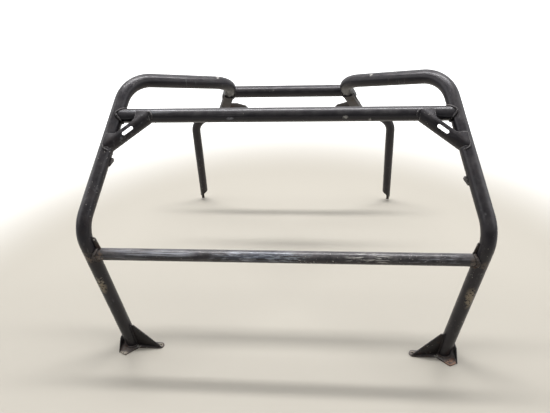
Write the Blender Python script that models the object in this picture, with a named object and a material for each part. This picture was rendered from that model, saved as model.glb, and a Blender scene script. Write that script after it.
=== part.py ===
"""Headache rack for a side-by-side utility vehicle: a welded frame of bent steel tube.

Metres, +Z up, +X to the right, +Y to the rear. The rack stands on its two front
feet and its two rear tongues, and is symmetric about the plane X = 0, except for
the two small ears on the upper legs.
"""

import math

import bmesh
import bpy
from mathutils import Matrix, Vector

# ---- driving dimensions -----------------------------------------------------
CLEARANCE = 0.0003            # gap left between neighbouring pieces
MID_Y = 0.4700                # depth of the box centre behind the front feet

MAIN_OD = 0.04445             # 1.75 in tube: main tubes, upper and rear crossbars
MAIN_WALL = 0.0024
REAR_OD = 0.0381              # 1.5 in tube: rear hoop
REAR_WALL = 0.0021
LOWER_OD = 0.0381             # 1.5 in tube: lower crossbar
LOWER_WALL = 0.0021

# corners of one main tube, right side, measured from the floor under the front feet
FOOT = Vector((0.546, 0.0, 0.0))
ELBOW = Vector((0.592, -0.0186, 0.5174))
TOP_CORNER = Vector((0.4988, 0.3448, 0.8528))
INNER_CORNER = Vector((0.200, 0.5615, 0.7675))
DROP_AIM = Vector((0.320, 0.850, 0.522))     # where the drop line meets the cross run
DROP_END = 0.142              # the main tube ends this far past its inner corner
MAIN_BEND = 0.1143            # centreline radius of the elbow and the top bend
INNER_BEND = 0.100            # centreline radius of the inner bend

UPPER_BAR = 0.7447            # place of the upper crossbar from elbow to top corner
LOWER_BAR = 0.8215            # place of the lower crossbar from foot to elbow
REAR_BAR_Y = 0.652
REAR_BAR_Z = 0.7035

HOOP_FOOT = Vector((0.4815, 0.987, 0.0))
HOOP_CORNER = Vector((0.4381, 0.850, 0.522))
HOOP_BEND = 0.0889
HOOP_LEG_END = 0.058          # height of the inner corner of each slanted leg end
HOOP_LEG_SLANT = 40.0         # degrees

BASE_T = 0.005
SIDE_T = 0.004
FOOT_GUSSET_T = 0.004
BASE_OUTLINE = (              # X and Y of the right-hand base plate, round tip left out
    (0.579, 0.030), (0.5786, -0.044), (0.556, -0.0555),
    (0.5185, -0.0215), (0.4420, -0.0205),
)
TIP_CENTRE = (0.442, -0.0080)
TIP_RADIUS = 0.0125
BASE_BACK = ((0.500, 0.0045), (0.526, 0.030))
TIP_HOLE_D = 0.009
MID_HOLE = (0.5185, -0.0150)
MID_HOLE_D = 0.009
SIDE_OUTLINE = (              # Y and Z of the side plate
    (-0.0445, 0.0), (-0.0095, 0.037), (0.030, 0.037), (0.030, 0.0),
)
FOOT_GUSSET_LEG = (0.5530, -0.0062)          # front face line, leg end, X and Y
FOOT_GUSSET_TIP = (0.4360, -0.0197)          # front face line, tip end
FOOT_GUSSET_OUTLINE = (       # along the front face line from the tip, and height
    (0.0, 0.0), (0.110, 0.0), (0.117, 0.102), (0.0865, 0.102),
)

SHEET_T = 0.003
GUSSET_OUTER = 0.0892         # from the tube corner to the outside of the round fold
GUSSET_LEGS = 0.036           # the sheet starts this far from the tube corner
GUSSET_SLOT_L = 0.039
GUSSET_SLOT_W = 0.0100
GUSSET_SLOT_AT = 0.0765
CHEEK_END = (                 # outline of one cheek end: along its tube, across it
    (0.0710, 0.0250), (0.0710, -0.0040), (0.1040, -0.0040),
    (0.1150, -0.0005), (0.1215, 0.0070), (0.1250, 0.0250),
)

BRACKET_FROM = 0.090          # the drop bracket starts this far past the inner corner
BRACKET_W = 0.036
BRACKET_DEPTH = 0.024
BRACKET_T = 0.003
BRACKET_FOLD_R = 0.005
FLANGE_HOLE_AT = 0.162        # along the drop line, in the outer flange
FLANGE_HOLE_BELOW = 0.0115    # hole middle, below the drop line
FLANGE_HOLE_D = 0.0085
WEB_LENGTH = 0.125
WEB_HEIGHT = 0.046            # above the top of the cross run
WEB_SHOULDER = (0.060, 0.098)  # where its top edge starts to fall, and falls faster
WEB_T = 0.004

TAB_HEIGHT = 0.043
TAB_REACH = {"left": 0.0105, "right": 0.0050}   # past the side of the leg
TAB_T = 0.004
TAB_HOLE_D = 0.006
EAR_HEIGHT = 0.029
EAR_REACH = 0.0085
EAR_T = 0.004
EAR_DROP = {"left": 0.150, "right": 0.208}   # below the upper crossbar, along the leg
TONGUE_W = 0.014
TONGUE_T = 0.005
TONGUE_LENGTH = 0.084

ARC_STEPS = 8                 # straight pieces in one bend
TUBE_SIDES = 24
BORE_SIDES = 16

SIDES = {"left": -1.0, "right": 1.0}
PAINT = (0.030, 0.030, 0.034, 1.0)


# ---- small helpers ------------------------------------------------------------
def clear_scene():
    for obj in list(bpy.data.objects):
        bpy.data.objects.remove(obj, do_unlink=True)


def mirrored(point, side):
    """The point of the right-hand side, carried to the given side."""
    return Vector((point.x * SIDES[side], point.y, point.z))


def placed(point):
    """From the measuring origin under the front feet to the middle of the rack."""
    return Vector((point[0], point[1] - MID_Y, point[2]))


def material(name, colour, metallic, roughness):
    made = bpy.data.materials.new(name)
    made.use_nodes = True
    shader = made.node_tree.nodes["Principled BSDF"]
    shader.inputs["Base Color"].default_value = colour
    shader.inputs["Metallic"].default_value = metallic
    shader.inputs["Roughness"].default_value = roughness
    return made


def painted(obj, shade=1.0):
    colour = tuple(channel * shade for channel in PAINT[:3]) + (1.0,)
    obj.data.materials.append(material(obj.name + "_paint", colour, 0.0, 0.35))


def add_object(name, bm):
    bmesh.ops.recalc_face_normals(bm, faces=bm.faces)
    mesh = bpy.data.meshes.new(name)
    bm.to_mesh(mesh)
    bm.free()
    obj = bpy.data.objects.new(name, mesh)
    bpy.context.scene.collection.objects.link(obj)
    return obj


def hide_helper(obj):
    obj.hide_render = True
    obj.display_type = "WIRE"
    return obj


def cut(obj, cutter, operation="DIFFERENCE"):
    modifier = obj.modifiers.new("cut_" + cutter.name, "BOOLEAN")
    modifier.operation = operation
    modifier.solver = "EXACT"
    modifier.object = cutter


def smooth(obj, degrees=35.0):
    obj.data.shade_smooth()
    obj.data.set_sharp_from_angle(angle=math.radians(degrees))


def frame_matrix(origin, x_axis, y_axis, z_axis):
    rows = [[x_axis[i], y_axis[i], z_axis[i], origin[i]] for i in range(3)]
    return Matrix(rows + [[0.0, 0.0, 0.0, 1.0]])


def prism(name, outline, low, high):
    """A flat outline in local X and Y, stretched from low to high along local Z."""
    bm = bmesh.new()
    ring = [bm.verts.new((x, y, low)) for x, y in outline]
    face = bm.faces.new(ring)
    grown = bmesh.ops.extrude_face_region(bm, geom=[face])
    moved = [item for item in grown["geom"] if isinstance(item, bmesh.types.BMVert)]
    bmesh.ops.translate(bm, verts=moved, vec=(0.0, 0.0, high - low))
    return add_object(name, bm)


def rod(name, start, end, radius, sides=TUBE_SIDES):
    """A round bar between two points."""
    axis = end - start
    bm = bmesh.new()
    bmesh.ops.create_cone(bm, cap_ends=True, segments=sides,
                          radius1=radius, radius2=radius, depth=axis.length)
    obj = add_object(name, bm)
    turn = axis.to_track_quat("Z", "Y").to_matrix().to_4x4()
    obj.matrix_world = Matrix.Translation((start + end) / 2) @ turn
    return obj


# ---- bent tubes ---------------------------------------------------------------
def bent_path(corners, radii):
    """Corner points with each inside corner replaced by an arc of the given radius."""
    path = [corners[0]]
    for before, corner, after, radius in zip(corners, corners[1:], corners[2:], radii):
        into = (corner - before).normalized()
        away = (after - corner).normalized()
        angle = into.angle(away)
        reach = radius * math.tan(angle / 2)
        inward = (away - into).normalized()
        centre = corner + inward * (radius / math.cos(angle / 2))
        first = corner - into * reach - centre
        normal = into.cross(away).normalized()
        for step in range(ARC_STEPS + 1):
            turn = Matrix.Rotation(angle * step / ARC_STEPS, 3, normal)
            path.append(centre + turn @ first)
    path.append(corners[-1])
    return path


def sweep(name, path, radius, sides=TUBE_SIDES):
    """A round bar that follows the path, as a mesh with filled caps."""
    curve = bpy.data.curves.new(name + "_line", "CURVE")
    curve.dimensions = "3D"
    curve.bevel_depth = radius
    curve.bevel_resolution = sides // 2 - 2
    curve.use_fill_caps = True
    spline = curve.splines.new("POLY")
    spline.points.add(len(path) - 1)
    for point, place in zip(spline.points, path):
        point.co = (*place, 1.0)
    line = bpy.data.objects.new(name + "_line", curve)
    bpy.context.scene.collection.objects.link(line)
    bpy.context.view_layer.update()
    mesh = bpy.data.meshes.new_from_object(line)
    bpy.data.objects.remove(line, do_unlink=True)
    bm = bmesh.new()
    bm.from_mesh(mesh)
    bmesh.ops.remove_doubles(bm, verts=bm.verts, dist=1e-6)
    bpy.data.meshes.remove(mesh)
    return add_object(name, bm)


def lengthened(path, extra):
    """The same path, carried a little further at both ends."""
    first = path[0] + (path[0] - path[1]).normalized() * extra
    last = path[-1] + (path[-1] - path[-2]).normalized() * extra
    return [first] + path[1:-1] + [last]


def hollow_tube(name, path, outside, wall):
    """A bent tube with a bore that is open at both ends."""
    tube = sweep(name, path, outside / 2)
    bore = sweep(name + "_bore", lengthened(path, 0.05), outside / 2 - wall, BORE_SIDES)
    cut(tube, hide_helper(bore))
    return tube


# ---- main tubes ---------------------------------------------------------------
def main_path(side, foot_extra=0.0):
    drop = (DROP_AIM - INNER_CORNER).normalized()
    end = INNER_CORNER + drop * DROP_END
    corners = [FOOT, ELBOW, TOP_CORNER, INNER_CORNER, end]
    corners = [placed(mirrored(corner, side)) for corner in corners]
    if foot_extra:
        corners[0] = corners[0] + (corners[0] - corners[1]).normalized() * foot_extra
    return bent_path(corners, (MAIN_BEND, MAIN_BEND, INNER_BEND))


def floor_cutter():
    """Everything below the top of the base plates, plus the clearance."""
    bm = bmesh.new()
    bmesh.ops.create_cube(bm, size=1.0)
    obj = add_object("floor_cutter", bm)
    obj.scale = (1.6, 0.4, 0.2)
    obj.location = (0.0, -MID_Y, BASE_T + CLEARANCE - 0.1)
    return hide_helper(obj)


def drop_axes(side):
    """Start of the drop line, its direction, up from it and out to the side of it."""
    start = placed(mirrored(INNER_CORNER, side))
    drop = (mirrored(DROP_AIM, side) - mirrored(INNER_CORNER, side)).normalized()
    up = bracket_up(drop)
    outward = drop.cross(up).normalized()
    if outward.x * SIDES[side] < 0:
        outward = -outward
    return start, drop, up, outward




def bracket_up(drop):
    """Across the drop line, away from the folded web of the bracket."""
    flat = Vector((1.0, 0.0, 0.0))
    across = (flat - drop * flat.dot(drop)).normalized()
    up = across.cross(drop).normalized()
    return up if up.z > 0 else -up


def build_main_tube(side, floor):
    tube = hollow_tube("main_tube_" + side, main_path(side, 0.03), MAIN_OD, MAIN_WALL)
    cut(tube, floor)
    smooth(tube)
    painted(tube)
    return tube


def build_cope(side):
    """The room that a main tube takes up, with the clearance round it."""
    path = lengthened(main_path(side, 0.03), 0.01)
    return hide_helper(sweep("cope_main_" + side, path, MAIN_OD / 2 + CLEARANCE))


# ---- crossbars ------------------------------------------------------------------
def crossbar(name, height_point, outside, wall, copes):
    half = abs(height_point.x)
    y, z = height_point.y, height_point.z
    path = [placed((-half, y, z)), placed((half, y, z))]
    bar = sweep(name, path, outside / 2)
    for cope in copes:
        cut(bar, cope)
    bore = sweep(name + "_bore", lengthened(path, 0.05), outside / 2 - wall, BORE_SIDES)
    cut(bar, hide_helper(bore))
    smooth(bar)
    painted(bar)
    return bar


def upper_bar_point():
    return ELBOW + (TOP_CORNER - ELBOW) * UPPER_BAR


def lower_bar_point():
    return FOOT + (ELBOW - FOOT) * LOWER_BAR


def rear_bar_point():
    share = (REAR_BAR_Y - INNER_CORNER.y) / (DROP_AIM.y - INNER_CORNER.y)
    x = INNER_CORNER.x + (DROP_AIM.x - INNER_CORNER.x) * share
    return Vector((x, REAR_BAR_Y, REAR_BAR_Z))


# ---- rear hoop -------------------------------------------------------------------
def hoop_path():
    corners = [mirrored(HOOP_FOOT, "left"), mirrored(HOOP_CORNER, "left"),
               HOOP_CORNER, HOOP_FOOT]
    return bent_path([placed(corner) for corner in corners], (HOOP_BEND, HOOP_BEND))


def leg_end_cutter(side):
    """Slants the bottom of a rear leg, lowest on the outer side."""
    bm = bmesh.new()
    bmesh.ops.create_cube(bm, size=1.0)
    obj = add_object("leg_end_cutter_" + side, bm)
    obj.scale = (0.3, 0.3, 0.2)
    slant = math.radians(HOOP_LEG_SLANT) * SIDES[side]
    obj.rotation_euler = (0.0, slant, 0.0)
    inner_x = HOOP_FOOT.x - REAR_OD / 2
    inner = placed(Vector((inner_x * SIDES[side], 0.98, HOOP_LEG_END)))
    down = Matrix.Rotation(slant, 3, "Y") @ Vector((0.0, 0.0, -0.1))
    obj.location = inner + down
    return hide_helper(obj)


def build_rear_hoop():
    hoop = hollow_tube("rear_hoop", hoop_path(), REAR_OD, REAR_WALL)
    for side in SIDES:
        cut(hoop, leg_end_cutter(side))
    smooth(hoop)
    painted(hoop)
    return hoop


def build_tongue(side):
    """A flat strip inside the outer wall of a rear leg, reaching down to the floor."""
    axis = (mirrored(HOOP_CORNER, side) - mirrored(HOOP_FOOT, side)).normalized()
    outward = Vector((SIDES[side], 0.0, 0.0))
    outward = (outward - axis * outward.dot(axis)).normalized()
    facing = axis.cross(outward).normalized()
    half = TONGUE_W / 2
    outline = [(-half, 0.0), (half, 0.0), (half, TONGUE_LENGTH), (-half, TONGUE_LENGTH)]
    name = "rear_tongue_" + side
    strip = prism(name, outline, -TONGUE_T / 2, TONGUE_T / 2)
    shift = REAR_OD / 2 - REAR_WALL - CLEARANCE - half - 0.001
    foot = placed(mirrored(HOOP_FOOT, side)) + outward * shift + axis * 0.004
    strip.matrix_world = frame_matrix(foot, outward, axis, facing)
    bevel_plate(strip, 0.0008)
    painted(strip)
    return strip


# ---- plates ------------------------------------------------------------------------
def bevel_plate(obj, width):
    modifier = obj.modifiers.new("edge", "BEVEL")
    modifier.width = width
    modifier.segments = 1
    modifier.limit_method = "ANGLE"


def arc_points(centre, radius, start, end, steps):
    points = []
    for step in range(steps + 1):
        angle = math.radians(start + (end - start) * step / steps)
        points.append((centre[0] + radius * math.cos(angle),
                       centre[1] + radius * math.sin(angle)))
    return points


def side_outline(outline, side):
    return [(x * SIDES[side], y) for x, y in outline]


def build_base(side):
    tip = arc_points(TIP_CENTRE, TIP_RADIUS, 270.0, 90.0, 12)
    outline = list(BASE_OUTLINE) + tip[1:] + list(BASE_BACK)
    base = prism("foot_base_" + side, side_outline(outline, side), 0.0, BASE_T)
    base.location = placed((0.0, 0.0, 0.0))
    for label, centre, diameter in (("tip", TIP_CENTRE, TIP_HOLE_D),
                                    ("mid", MID_HOLE, MID_HOLE_D)):
        middle = placed((centre[0] * SIDES[side], centre[1], 0.0))
        reach = Vector((0.0, 0.0, 0.02))
        drill = rod("drill_" + label + "_" + side, middle - reach, middle + reach,
                    diameter / 2, 20)
        cut(base, hide_helper(drill))
    bevel_plate(base, 0.0006)
    painted(base, 1.3)
    return base


def build_side_plate(side):
    outline = [(y, z) for y, z in SIDE_OUTLINE]
    plate = prism("foot_side_" + side, outline, 0.0, SIDE_T)
    inner_x = BASE_OUTLINE[0][0] + CLEARANCE
    start = inner_x if side == "right" else -inner_x - SIDE_T
    origin = placed((start, 0.0, 0.0))
    plate.matrix_world = frame_matrix(origin, (0, 1, 0), (0, 0, 1), (1, 0, 0))
    bevel_plate(plate, 0.0006)
    painted(plate, 1.2)
    return plate


def build_foot_gusset(side, cope):
    lift = BASE_T + CLEARANCE
    outline = [(along, max(z, lift)) for along, z in FOOT_GUSSET_OUTLINE]
    plate = prism("foot_gusset_" + side, outline, 0.0, FOOT_GUSSET_T)
    tip = mirrored(Vector((*FOOT_GUSSET_TIP, 0.0)), side)
    leg = mirrored(Vector((*FOOT_GUSSET_LEG, 0.0)), side)
    along = (leg - tip).normalized()
    upright = Vector((0.0, 0.0, 1.0))
    backward = along.cross(upright)
    if backward.y < 0:
        backward = -backward
    plate.matrix_world = frame_matrix(placed(tip), along, upright, backward)
    cut(plate, cope)
    painted(plate, 0.9)
    return plate


# ---- corner gussets -----------------------------------------------------------------
def corner_axes(side):
    """Directions at the joint of upper leg and upper crossbar."""
    along_bar = Vector((-SIDES[side], 0.0, 0.0))
    down_leg = (mirrored(ELBOW, side) - mirrored(TOP_CORNER, side)).normalized()
    inward = (along_bar + down_leg).normalized()
    diagonal = (along_bar - down_leg).normalized()
    front = inward.cross(diagonal).normalized()
    if front.y > 0:
        front = -front
    return along_bar, down_leg, inward, diagonal, front


def fold_line(half_width, depth, fold, steps):
    """One side of a folded sheet seen end-on, from the left leg to the right leg."""
    left = arc_points((-half_width + fold, depth - fold), fold, 180.0, 90.0, steps)
    right = arc_points((half_width - fold, depth - fold), fold, 90.0, 0.0, steps)
    if half_width - fold < 1e-6:
        right = right[1:]
    return [(-half_width, 0.0)] + left + right + [(half_width, 0.0)]


def channel_outline(half_width, depth, thick, fold, steps=5):
    """A U seen end-on: its web lies along local X at Y = depth, its legs reach Y = 0."""
    outer = fold_line(half_width, depth, fold, steps)
    inner = fold_line(half_width - thick, depth - thick, fold - thick, steps)
    return outer + inner[::-1]


def build_corner_gusset(side, cope, bar_cope):
    along_bar, down_leg, inward, diagonal, front = corner_axes(side)
    corner = placed(mirrored(upper_bar_point(), side))
    half_width = MAIN_OD / 2 + CLEARANCE + SHEET_T
    outline = channel_outline(half_width, GUSSET_OUTER - GUSSET_LEGS, SHEET_T,
                              half_width, 10)
    name = "corner_gusset_" + side
    gusset = prism(name, outline, -0.105, 0.105)
    gusset.matrix_world = frame_matrix(corner + inward * GUSSET_LEGS,
                                       front, inward, diagonal)
    # the cheek outline is cut out of the channel with a prism of the wanted shape
    bar_end = [along_bar * a + down_leg * b for a, b in CHEEK_END]
    leg_end = [down_leg * a + along_bar * b for a, b in reversed(CHEEK_END)]
    corners = [(place.dot(diagonal), place.dot(inward)) for place in bar_end + leg_end]
    keep = prism(name + "_outline", corners, -0.035, 0.035)
    keep.matrix_world = frame_matrix(corner, diagonal, inward, front)
    cut(gusset, hide_helper(keep), "INTERSECT")
    reach = GUSSET_SLOT_L / 2 - GUSSET_SLOT_W / 2
    slot = arc_points((reach, 0.0), GUSSET_SLOT_W / 2, -90.0, 90.0, 8)
    slot += arc_points((-reach, 0.0), GUSSET_SLOT_W / 2, 90.0, 270.0, 8)
    slot_cutter = prism(name + "_slot", slot, -0.040, 0.040)
    slot_cutter.matrix_world = frame_matrix(corner + inward * GUSSET_SLOT_AT,
                                            diagonal, inward, front)
    cut(gusset, hide_helper(slot_cutter))
    cut(gusset, cope)
    cut(gusset, bar_cope)
    smooth(gusset)
    painted(gusset, 1.1)
    return gusset


# ---- drop brackets --------------------------------------------------------------------
def flange_drill(side):
    """The hole through the outer flange, just past the end of the main tube."""
    start, drop, up, outward = drop_axes(side)
    middle = start + drop * FLANGE_HOLE_AT - up * FLANGE_HOLE_BELOW
    return hide_helper(rod("flange_drill_" + side, middle, middle + outward * 0.05,
                           FLANGE_HOLE_D / 2, 20))


def build_drop_bracket(side, cutters):
    """A channel welded under the end of the main tube, down to the cross run."""
    start, drop, up, outward = drop_axes(side)
    length = (DROP_AIM - INNER_CORNER).length - BRACKET_FROM
    outline = channel_outline(BRACKET_W / 2, BRACKET_DEPTH, BRACKET_T, BRACKET_FOLD_R)
    bracket = prism("drop_bracket_" + side, outline, 0.0, length)
    web_reach = MAIN_OD / 2 + CLEARANCE + BRACKET_T
    origin = start + drop * BRACKET_FROM + up * (BRACKET_DEPTH - web_reach)
    bracket.matrix_world = frame_matrix(origin, outward, -up, drop)
    for cutter in cutters + (flange_drill(side),):
        cut(bracket, cutter)
    smooth(bracket)
    painted(bracket, 1.25)
    return bracket


def build_web_plate(side, hoop_cope):
    """A thin hump-shaped plate that stands on the cross run, beside the bracket."""
    _, drop, _, _ = drop_axes(side)
    inward = Vector((-SIDES[side], 0.0, 0.0))
    upright = Vector((0.0, 0.0, 1.0))
    facing = inward.cross(upright)
    beside = (BRACKET_W / 2 + 2 * CLEARANCE) / math.sqrt(1 - drop.x ** 2)
    top = REAR_OD / 2 + WEB_HEIGHT
    near = beside + 0.002
    flat, steep = WEB_SHOULDER
    outline = [(near, 0.0), (near + WEB_LENGTH, 0.0),
               (near + WEB_LENGTH, REAR_OD / 2 + 0.002),
               (near + steep, top - 0.013), (near + flat, top - 0.002), (near, top)]
    plate = prism("bracket_web_" + side, outline, -WEB_T / 2, WEB_T / 2)
    origin = placed(mirrored(DROP_AIM, side))
    plate.matrix_world = frame_matrix(origin, inward, upright, facing)
    cut(plate, hoop_cope)
    painted(plate, 1.2)
    return plate


# ---- tabs and ears ---------------------------------------------------------------------
def build_bar_tab(side, cope, bar_cope):
    """An upright tab in the corner between the lower crossbar and the leg."""
    joint = mirrored(lower_bar_point(), side)
    leg = (mirrored(ELBOW, side) - mirrored(FOOT, side)).normalized()
    inward = Vector((-SIDES[side], 0.0, 0.0))
    reach = MAIN_OD / 2 + TAB_REACH[side]
    top = LOWER_OD / 2 + TAB_HEIGHT
    outline = [(0.004, 0.0), (reach + 0.004, 0.0), (reach, top - 0.005),
               (reach - 0.005, top), (0.004, top)]
    facing = inward.cross(leg).normalized()
    tab = prism("bar_tab_" + side, outline, -TAB_T / 2, TAB_T / 2)
    across = leg.cross(facing).normalized()
    if across.dot(inward) < 0:
        across = -across
    origin = placed(joint) + Vector((0.0, 0.003, 0.0))
    tab.matrix_world = frame_matrix(origin, across, leg, across.cross(leg))
    middle = origin + across * (reach - 0.0065) + leg * (top - 0.010)
    normal = across.cross(leg) * 0.02
    drill = rod("tab_drill_" + side, middle - normal, middle + normal,
                TAB_HOLE_D / 2, 16)
    cut(tab, hide_helper(drill))
    cut(tab, cope)
    cut(tab, bar_cope)
    painted(tab, 1.6)
    return tab


def build_ear(side, cope):
    """A small ear on the inner side of an upper leg, set behind its middle."""
    along_bar, down_leg, _, _, front = corner_axes(side)
    across = (along_bar - down_leg * along_bar.dot(down_leg)).normalized()
    middle = placed(mirrored(upper_bar_point(), side)) + down_leg * EAR_DROP[side]
    reach = MAIN_OD / 2 + EAR_REACH
    half = EAR_HEIGHT / 2
    outline = [(0.008, -half), (reach - 0.004, -half), (reach, -half + 0.004),
               (reach, -half + 0.010), (MAIN_OD / 2 + 0.001, half), (0.008, half)]
    ear = prism("leg_ear_" + side, outline, -EAR_T / 2, EAR_T / 2)
    origin = middle - front * 0.008
    ear.matrix_world = frame_matrix(origin, across, down_leg, across.cross(down_leg))
    cut(ear, cope)
    painted(ear, 1.4)
    return ear


# ---- assembly ----------------------------------------------------------------------------
def bar_clearance(name, point, outside, half=0.7):
    ends = [placed((-half, point.y, point.z)), placed((half, point.y, point.z))]
    return hide_helper(sweep(name, ends, outside / 2 + CLEARANCE))


def build():
    clear_scene()
    floor = floor_cutter()
    copes = {side: build_cope(side) for side in SIDES}
    for side in SIDES:
        build_main_tube(side, floor)
    both = list(copes.values())
    crossbar("upper_crossbar", upper_bar_point(), MAIN_OD, MAIN_WALL, both)
    crossbar("lower_crossbar", lower_bar_point(), LOWER_OD, LOWER_WALL, both)
    crossbar("rear_crossbar", rear_bar_point(), MAIN_OD, MAIN_WALL, both)
    build_rear_hoop()
    hoop_cope = hide_helper(sweep("cope_hoop", hoop_path(), REAR_OD / 2 + CLEARANCE))
    upper_cope = bar_clearance("cope_upper", upper_bar_point(), MAIN_OD)
    lower_cope = bar_clearance("cope_lower", lower_bar_point(), LOWER_OD)
    rear_cope = bar_clearance("cope_rear", rear_bar_point(), MAIN_OD, rear_bar_point().x)
    for side in SIDES:
        build_corner_gusset(side, copes[side], upper_cope)
        build_drop_bracket(side, (copes[side], hoop_cope, rear_cope))
        build_web_plate(side, hoop_cope)
        build_base(side)
        build_side_plate(side)
        build_foot_gusset(side, copes[side])
        build_bar_tab(side, copes[side], lower_cope)
        build_ear(side, copes[side])
        build_tongue(side)


build()
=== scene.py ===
# %% [markdown]
# # A headache rack, from bare solids to a worn, painted weldment
#
# A headache rack is the frame that stands behind the seats of a small utility
# vehicle and keeps a load from sliding into the cab. This one is bent from steel
# tube, welded together, sprayed semi-gloss black and then used hard.
#
# The solids of every piece come in as a fixed frame. This lesson makes what a close
# look needs: rounder tubes, softened plate edges and weld beads, and then the
# paint, dust, scuffs and rust that cover them.

# %% Load the frame, with a helper that finds a piece's box
import math
import random

import bmesh
import bpy
from mathutils import Matrix, Vector


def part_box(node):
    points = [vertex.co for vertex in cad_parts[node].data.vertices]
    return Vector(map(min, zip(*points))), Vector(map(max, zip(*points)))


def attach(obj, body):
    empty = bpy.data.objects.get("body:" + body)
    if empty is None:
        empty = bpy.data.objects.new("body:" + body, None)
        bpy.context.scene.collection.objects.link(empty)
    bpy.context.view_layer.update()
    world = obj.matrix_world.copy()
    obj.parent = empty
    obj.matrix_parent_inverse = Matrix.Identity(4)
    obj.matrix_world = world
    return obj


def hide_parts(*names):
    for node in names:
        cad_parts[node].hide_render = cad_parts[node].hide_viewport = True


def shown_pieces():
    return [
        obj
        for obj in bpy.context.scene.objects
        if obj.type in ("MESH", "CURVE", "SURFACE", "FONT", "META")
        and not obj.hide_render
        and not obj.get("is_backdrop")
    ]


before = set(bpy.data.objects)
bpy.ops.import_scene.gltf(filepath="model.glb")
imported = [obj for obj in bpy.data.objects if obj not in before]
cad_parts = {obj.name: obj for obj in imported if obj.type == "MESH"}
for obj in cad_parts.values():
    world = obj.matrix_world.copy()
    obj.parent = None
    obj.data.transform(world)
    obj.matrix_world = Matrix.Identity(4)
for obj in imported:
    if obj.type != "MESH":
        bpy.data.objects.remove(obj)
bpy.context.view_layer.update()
print("solid pieces:", len(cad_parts))

# %% [markdown]
# ## The sizes that the shop drawing would give
#
# A tube bender works from the corner points of the middle line and one radius for
# each bend, so the same few numbers describe each tube here. They are given for
# the right-hand side, and the left side is their mirror image.

# %% Tube sizes and corner points, in metres
MAIN_R = 0.04445 / 2          # radius of the main tubes, the upper bar and the rear bar
MAIN_WALL = 0.0024
THIN_R = 0.0381 / 2           # radius of the rear hoop and the lower bar
THIN_WALL = 0.0021
GAP = 0.0003                  # room left between two pieces that are welded together
BASE_T = 0.005                # thickness of the plate under each foot
MID_Y = 0.47                  # the front feet stand this far in front of the origin
UPPER_BAR_AT = 0.7447         # how far up its leg each bar crosses, from 0 to 1
LOWER_BAR_AT = 0.8215
FOOT = Vector((0.546, -MID_Y, 0.0))
ELBOW = Vector((0.592, -0.0186 - MID_Y, 0.5174))
TOP_CORNER = Vector((0.4988, 0.3448 - MID_Y, 0.8528))
INNER_CORNER = Vector((0.200, 0.5615 - MID_Y, 0.7675))
DROP_AIM = Vector((0.320, 0.850 - MID_Y, 0.522))
DROP_LENGTH = 0.142
MAIN_BENDS = (0.1143, 0.1143, 0.100)
UPPER_BAR = ELBOW.lerp(TOP_CORNER, UPPER_BAR_AT)
LOWER_BAR = FOOT.lerp(ELBOW, LOWER_BAR_AT)
REAR_BAR = Vector((0.2376, 0.652 - MID_Y, 0.7035))
HOOP_FOOT = Vector((0.4815, 0.987 - MID_Y, 0.0))
HOOP_CORNER = Vector((0.4381, 0.850 - MID_Y, 0.522))
HOOP_BEND = 0.0889
SIDES = {"left": -1.0, "right": 1.0}


def on_side(point, side):
    """The right-hand point, carried to the given side."""
    return Vector((point.x * SIDES[side], point.y, point.z))


print("main tube radius in mm:", MAIN_R * 1000)

# %% [markdown]
# ## Bending a tube
#
# A real bender pushes the tube straight through and then rolls it round a die. The
# mesh does the same: a ring is extruded along each straight and spun round the
# middle of each bend. This gives even quads and a true arc, where a bevelled curve
# would pinch the rings at the corners.

# %% Rings, straights and bends
TUBE_SIDES = 48               # points in one ring
BEND_STEPS = 20               # rings in one bend


def only_verts(geometry):
    return [item for item in geometry if isinstance(item, bmesh.types.BMVert)]


def ring_edges(ring):
    """The edges round a ring, in the same order each time the lesson is run."""
    chosen = set(ring)
    found = dict.fromkeys(edge for vert in ring for edge in vert.link_edges)
    return [edge for edge in found if set(edge.verts) <= chosen]


def first_ring(bm, centre, direction, radius):
    turn = direction.to_track_quat("Z", "Y").to_matrix().to_4x4()
    place = Matrix.Translation(centre) @ turn
    return bmesh.ops.create_circle(bm, segments=TUBE_SIDES, radius=radius,
                                   matrix=place)["verts"]


def push_straight(bm, ring, shift):
    grown = bmesh.ops.extrude_edge_only(bm, edges=ring_edges(ring))
    moved = only_verts(grown["geom"])
    bmesh.ops.translate(bm, verts=moved, vec=shift)
    return moved


def push_bend(bm, ring, centre, axis, angle):
    spun = bmesh.ops.spin(bm, geom=list(ring) + ring_edges(ring), cent=centre, axis=axis,
                          angle=angle, steps=BEND_STEPS, use_duplicate=False)
    return only_verts(spun["geom_last"])


def bend_tube(corners, bends, radius):
    """The outer skin of a tube whose middle line has these corners and bend radii."""
    bm = bmesh.new()
    ring = first_ring(bm, corners[0], corners[1] - corners[0], radius)
    here = corners[0]
    for before, corner, after, bend in zip(corners, corners[1:], corners[2:], bends):
        into = (corner - before).normalized()
        away = (after - corner).normalized()
        angle = into.angle(away)
        reach = bend * math.tan(angle / 2)
        start = corner - into * reach
        ring = push_straight(bm, ring, start - here)
        axis = into.cross(away).normalized()
        ring = push_bend(bm, ring, start + axis.cross(into) * bend, axis, angle)
        here = corner + away * reach
    ring = push_straight(bm, ring, corners[-1] - here)
    miss = sum((vert.co for vert in ring), Vector()) / len(ring) - corners[-1]
    print("  end of the tube misses its mark by", round(miss.length * 1000, 4), "mm")
    return bm


print("a tube ring has", TUBE_SIDES, "points and a bend has", BEND_STEPS, "steps")

# %% [markdown]
# ## Turning a skin into a piece
#
# The skin becomes a tube when it gets a wall. A Solidify modifier would do it too,
# but a wall in the mesh itself needs nothing applied later. The normals are put
# right first, so that the wall grows inwards. Every piece ends up as an object at
# the origin whose place is in its mesh, and rides on the frame's one rigid body.

# %% Walls, shading and riding
TUBE_CREASE = 40.0            # degrees: an edge that folds more than this stays sharp


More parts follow.
